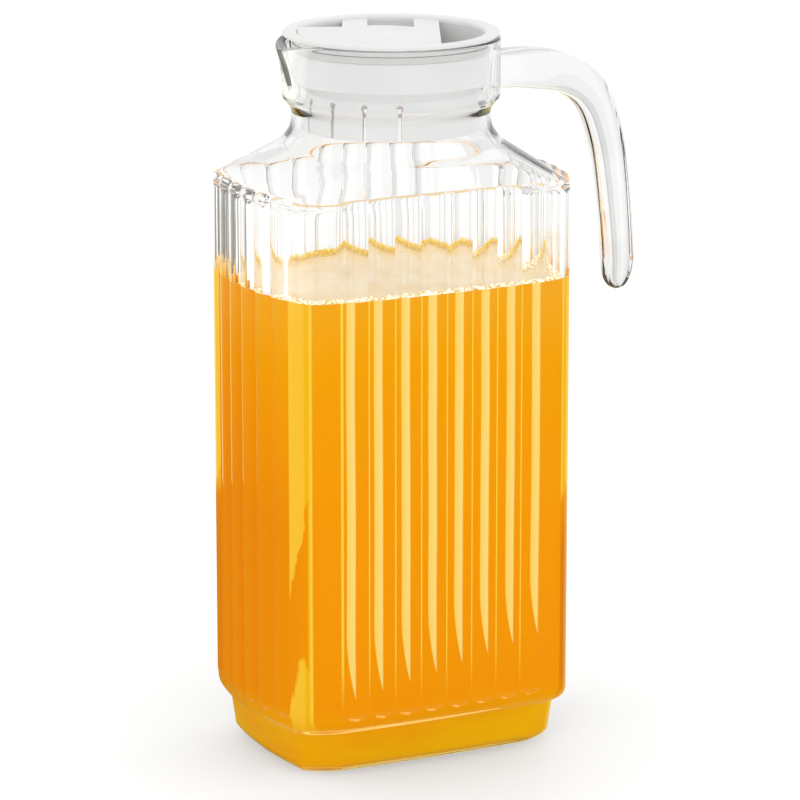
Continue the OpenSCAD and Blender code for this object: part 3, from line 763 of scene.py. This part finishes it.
def corner_light(s, across, at_far, z):
    """Share of the light on a corner. At one pair of corners it is ragged and in two parts,
    and at the other, the far one, it ends halfway down."""
    ragged = s.math("MULTIPLY_ADD", s.noise(260, 4, (1, 1, 0.3)), RAGGED_H, -RAGGED_H / 2)
    rough_z = s.math("ADD", z, ragged)
    upper = s.rises(s.math("MULTIPLY_ADD", across, UPPER_SLOPE_H, rough_z), *UPPER_LIGHT_Z)
    lower = s.rises(s.math("MULTIPLY_ADD", across, LOWER_SLOPE_H, rough_z), *LOWER_LIGHT_Z)
    lower = s.product(lower, s.rises(rough_z, *LOWER_LIGHT_END_Z))
    thin = s.product(s.rises(across, *THIN_LIGHT_SHARE), s.rises(z, *THIN_LIGHT_Z))
    near = s.math("MAXIMUM", s.math("MAXIMUM", upper, lower), thin)
    far = s.rises(rough_z, *FAR_LIGHT_Z)
    return s.math("ADD", s.product(near, s.math("SUBTRACT", 1.0, at_far)), s.product(far, at_far))


def juice_colour(s):
    """The juice against the glass, striped by the light that the glass gathers on it."""
    u, w, z, far_x, far_y = face_axes(s)
    wide, narrow = s.rises(far_y, *WIDE_AT), s.rises(far_x, *NARROW_AT)
    cloud = s.math("MULTIPLY_ADD", s.noise(14, 3, (1, 1, 0.4)), CLOUD_H, -CLOUD_H / 2)
    height = s.math("DIVIDE", s.math("ADD", z, cloud), LEVEL_Z)
    # Painted shade: behind the narrow faces the juice takes the darker tones
    colour = s.mixed(s.rises(far_x, *TONES_AT), s.ramp(height, WIDE_TONES, True),
                     s.ramp(height, NARROW_SHADED_TONES, True))
    flute = s.math("FRACT", s.math("DIVIDE", s.math("ADD", w, NARROW_HALF), NARROW_PITCH))
    shade = s.product(s.math("SUBTRACT", 1.0, flute), narrow, s.rises(w, *SHADE_ALONG))
    colour = s.mixed(shade, colour, GROOVE_SHADE)
    bands, v = gathered_light(s, u, z)
    tone = s.ramp(s.math("DIVIDE", v, BAND_W), BAND_TONES, True)
    colour = s.mixed(s.product(bands, wide), colour, tone)
    lines = s.product(groove_lines(s, u, WIDE_PITCH, WIDE_HALF), wide, s.rises(z, *WIDE_LINES_Z))
    colour = s.mixed(lines, colour, WIDE_LINE)
    lines = s.product(groove_lines(s, w, NARROW_PITCH, NARROW_HALF), narrow,
                      s.rises(w, *LINES_ALONG), s.rises(z, *NARROW_LINES_Z))
    colour = s.mixed(lines, colour, NARROW_LINE)
    corner_end = CORNER_Y + CORNER_W + CORNER_OVERLAP
    corner = s.product(s.between(far_y, CORNER_Y, corner_end, FACE_SOFT),
                       s.rises(far_x, CORNER_X, CORNER_X + 1))
    across = s.math("DIVIDE", s.math("SUBTRACT", far_y, CORNER_Y), CORNER_W)
    at_far = s.rises(w, *FAR_ALONG)
    shade = s.product(corner, at_far, s.rises(z, *CORNER_SHADE_Z))
    colour = s.mixed(shade, colour, CORNER_SHADE)
    colour = s.mixed(s.product(corner, corner_light(s, across, at_far, z)), colour,
                     s.ramp(across, CORNER_TONES, True))
    foot = s.ramp(s.noise(34, 3, (0.5, 0.5, 1.6)), FOOT_TONES, True)
    return s.mixed(s.rises(z, *FOOT_Z), colour, foot)


def juice_material():
    s = Shader("orange_juice")
    s.glow(juice_colour(s), JUICE_GLOW)
    s.set(Specular_IOR_Level=0.0, Roughness=1.0)
    return s.material


def surface_material():
    """The juice's free surface, with a thin film of foam."""
    s = Shader("juice_surface")
    s.glow(s.ramp(s.noise(70, 3), SURFACE_TONES, True), SURFACE_GLOW)
    s.set(IOR=1.34)
    s.link(s.ramp(s.noise(40, 2), [(0.4, 0.15), (0.7, 0.35)]), s.main.inputs["Roughness"])
    s.bump(s.noise(45, 3), 0.15, 0.0006)
    return s.material


def foam_material():
    """Foam bubbles: near white at the front, and painted yellower at the back, as backlit."""
    s = Shader("juice_foam")
    front = s.ramp(s.noise(1100, 2), FOAM_FRONT_TONES, True)
    back = s.ramp(s.noise(800, 2), FOAM_BACKLIT_TONES, True)
    # Painted backlight: bubbles at the back take the yellower tones, as if lit through the juice
    backlit = s.rises(s.split()[1], -20 * MM, 25 * MM)
    s.glow(s.mixed(backlit, front, back), FOAM_GLOW)
    s.set(IOR=1.33, Roughness=0.15)
    s.bump(s.noise(1500, 2), 0.2, 0.0002)
    return s.material


def plastic_material():
    """The lid's white plastic, with a fine grain."""
    s = Shader("lid_plastic")
    s.link(s.ramp(s.noise(60, 3), LID_TONES, True), s.main.inputs["Base Color"])
    s.set(Subsurface_Weight=0.15, Subsurface_Scale=0.002)
    s.link(s.ramp(s.noise(700, 4), [(0.35, 0.3), (0.7, 0.42)]), s.main.inputs["Roughness"])
    s.bump(s.noise(1800, 3), 0.12, 0.0001)
    return s.material


def silicone_material():
    """The seal's milky silicone."""
    s = Shader("seal_silicone")
    s.link(s.ramp(s.noise(120, 3), SEAL_TONES, True), s.main.inputs["Base Color"])
    s.set(Transmission_Weight=0.3, IOR=1.41)
    s.link(s.ramp(s.noise(900, 3), [(0.35, 0.4), (0.7, 0.55)]), s.main.inputs["Roughness"])
    s.bump(s.noise(1600, 3), 0.15, 0.0001)
    return s.material


def floor_material():
    s = Shader("pale_floor")
    s.link(s.ramp(s.noise(3, 2), FLOOR_TONES, True), s.main.inputs["Base Color"])
    s.set(Roughness=0.6)
    return s.material


def give(obj, material):
    obj.data.materials.clear()
    obj.data.materials.append(material)


# Stage, light and camera
WORLD_LIGHT = 1.2
# Studio cards stand in a ring round the jug. Each is a strip: the angles of its two ends,
# from -Y towards -X, the heights of its lower and upper edges, its light and, where it fades,
# the light at its top. Reflections see the MIRRORED cards, and rays that go through the glass
# see the BENT ones.
DARK, WHITE, ORANGE = (0.38, 0.32, 0.07), (1.0,) * 3, (0.6, 0.25, 0.01)
PALE, LIGHT_GREY, MID_GREY, DEEP_GREY = (0.98,) * 3, (0.92,) * 3, (0.76,) * 3, (0.62,) * 3
GLOW, SOFT_GREY, LIP_GLOW = (4.0, 3.6, 1.6), (0.5, 0.55, 0.25), (2.5, 2.2, 1.2)
WARM, WARM_GREY = (1.0, 0.93, 0.5), (0.92, 0.84, 0.42)
ROUND = -180, 180
RING_LOW, RING_HIGH = -6000.0, 2500.0
STEEPEST_Z, STEEP_Z, FOOT_MIRRORED_Z = -2500.0, -1600.0, -620.0
SIDE_LOW_Z, SIDE_MID_Z, JUICE_MIRRORED_Z = -285.0, -140.0, -17.0
FADE_LOW_Z, FADE_HIGH_Z = -60.0, 60.0
MIRRORED = [(*ROUND, RING_LOW, STEEPEST_Z, WARM),
            (*ROUND, STEEPEST_Z, STEEP_Z, GLOW),
            (*ROUND, STEEP_Z, FOOT_MIRRORED_Z, SOFT_GREY),
            (*ROUND, FOOT_MIRRORED_Z, FADE_LOW_Z, DARK),
            (*ROUND, FADE_LOW_Z, FADE_HIGH_Z, DARK, WHITE),
            (*ROUND, FADE_HIGH_Z, RING_HIGH, WHITE)]
MIRRORED_LIT = [(165, 206, SIDE_MID_Z, JUICE_MIRRORED_Z, WARM),
                (165, 206, SIDE_LOW_Z, SIDE_MID_Z, ORANGE),
                (200, 214, FOOT_MIRRORED_Z, SIDE_LOW_Z, LIP_GLOW),
                (214, 262, FOOT_MIRRORED_Z, JUICE_MIRRORED_Z, WARM_GREY),
                (206, 214, SIDE_LOW_Z, JUICE_MIRRORED_Z, WARM_GREY)]
BENT = [(*ROUND, RING_LOW, RING_HIGH, PALE)]
BENT_GREY = [(-172, -161, RING_LOW, RING_HIGH, LIGHT_GREY),
             (-179.5, -174, RING_LOW, RING_HIGH, DEEP_GREY),
             (-148, -145, RING_LOW, RING_HIGH, LIGHT_GREY),
             (-145, -133.5, RING_LOW, RING_HIGH, MID_GREY),
             (-133.5, -128, RING_LOW, RING_HIGH, DEEP_GREY)]
# Their distances from the jug's axis, and the angle that one face of a card spans
RING_R, CARDS_R, BENT_RING_R, BENT_CARDS_R, CARD_STEP = 920, 900, 970, 950, 2
# The card inside the drink: its size as shares of the drink's, how far up it sits, its colour
FLAG_SCALE, FLAG_LIFT, FLAG_GREY = (0.975, 0.96, 0.96), 2.5 * MM, (0.36, 0.33, 0.28)
# The photograph's camera, in degrees, millimetres and pixels of a picture this wide
PICTURE_W = 800
CAMERA = {"turn": 26.34, "distance": 1519.1, "height": 506.14, "pitch": 14.071,
          "focal": 4354.0, "centre": 390.86}


def camera():
    """The camera at the photograph's place, turned so that the frame's middle fits."""
    c = CAMERA
    a = math.radians(c["turn"])
    data = bpy.data.cameras.new("camera")
    data.sensor_width = 36.0
    data.lens = c["focal"] / PICTURE_W * data.sensor_width
    data.clip_end = 50
    cam = bpy.data.objects.new("camera", data)
    bpy.context.scene.collection.objects.link(cam)
    cam.location = Vector((-math.sin(a) * c["distance"], -math.cos(a) * c["distance"],
                           c["height"])) * MM
    yaw = -a - math.atan((PICTURE_W / 2 - c["centre"]) / c["focal"])
    cam.rotation_euler = (math.radians(90 - c["pitch"]), 0, yaw)
    bpy.context.scene.camera = cam


def world():
    w = bpy.data.worlds.new("studio")
    bpy.context.scene.world = w
    w.use_nodes = True
    w.node_tree.nodes["Background"].inputs["Color"].default_value = (1, 1, 1, 1)
    w.node_tree.nodes["Background"].inputs["Strength"].default_value = WORLD_LIGHT


def cards(name, radius, strips, seen_by):
    """Glowing cards at this distance from the axis, which only some rays see."""
    verts, faces, lights = [], [], []
    for start, end, low, high, light, *top_light in strips:
        steps = max(int(abs(end - start) / CARD_STEP), 2)
        first = len(verts)
        for t in np.linspace(0, 1, steps + 1):
            a = math.radians(start + (end - start) * t)
            x, y = -radius * math.sin(a), -radius * math.cos(a)
            verts += [(x, y, low), (x, y, high)]
        for k in range(first, first + 2 * steps, 2):
            faces.append([k, k + 2, k + 3, k + 1])
            lights += [*light, 1.0] * 2 + [*(top_light[0] if top_light else light), 1.0] * 2
    ring_of_cards = new_object(name, verts, faces)
    colours = ring_of_cards.data.attributes.new("card_light", "FLOAT_COLOR", "CORNER")
    colours.data.foreach_set("color", lights)
    material = bpy.data.materials.new(name)
    material.use_nodes = True
    tree = material.node_tree
    tree.nodes.clear()
    read = tree.nodes.new("ShaderNodeAttribute")
    read.attribute_name = "card_light"
    glow = tree.nodes.new("ShaderNodeEmission")
    out = tree.nodes.new("ShaderNodeOutputMaterial")
    tree.links.new(read.outputs["Color"], glow.inputs["Color"])
    tree.links.new(glow.outputs["Emission"], out.inputs["Surface"])
    material.cycles.emission_sampling = "NONE"
    give(ring_of_cards, material)
    for rays in ("camera", "diffuse", "glossy", "transmission", "volume_scatter", "shadow"):
        setattr(ring_of_cards, "visible_" + rays, rays in seen_by)


def inner_flag(juice):
    """A grey card inside the drink: it keeps the drink's colour off the floor."""
    flag = bpy.data.objects.new("inner_flag", juice.data.copy())
    bpy.context.scene.collection.objects.link(flag)
    flag.scale, flag.location.z = FLAG_SCALE, FLAG_LIFT
    s = Shader("grey_flag")
    s.set(Base_Color=(*FLAG_GREY, 1), Roughness=1.0)
    give(flag, s.material)
    for rays in ("camera", "glossy", "transmission", "volume_scatter"):
        setattr(flag, "visible_" + rays, False)


def stage():
    """A plain floor just under the foot, which reflections and bent rays don't see."""
    size, z = 6000.0, -0.05
    floor = new_object("floor", [(-size, -size, z), (size, -size, z), (size, size, z),
                                 (-size, size, z)], [[0, 1, 2, 3]])
    give(floor, floor_material())
    floor.visible_glossy = floor.visible_transmission = False


def main():
    glass = join(outward(jug_glass()), outward(handle_glass()))
    smooth(glass, sharp=30)
    give(glass, glass_material())
    glass.visible_shadow = glass.visible_diffuse = False
    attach(glass, "jug")
    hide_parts("glass_jug")
    juice = juice_body()
    give(juice, juice_material())
    juice.data.materials.append(surface_material())
    upward = math.sin(math.radians(SURFACE_ANGLE))
    for face in juice.data.polygons:
        face.material_index = int(face.normal.z > upward)
    juice.visible_shadow = juice.visible_diffuse = False
    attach(juice, "jug")
    foam = foam_ring()
    give(foam, foam_material())
    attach(foam, "jug")
    give(frame["nodes"]["lid"], plastic_material())
    give(frame["nodes"]["seal_ring"], silicone_material())
    inner_flag(juice)
    stage()
    cards("mirrored_ring", RING_R, MIRRORED, ("glossy",))
    cards("mirrored_cards", CARDS_R, MIRRORED_LIT, ("glossy",))
    cards("bent_ring", BENT_RING_R, BENT, ("transmission",))
    cards("bent_cards", BENT_CARDS_R, BENT_GREY, ("transmission",))
    world()
    bpy.context.scene.view_settings.view_transform = "Standard"
    camera()


main()
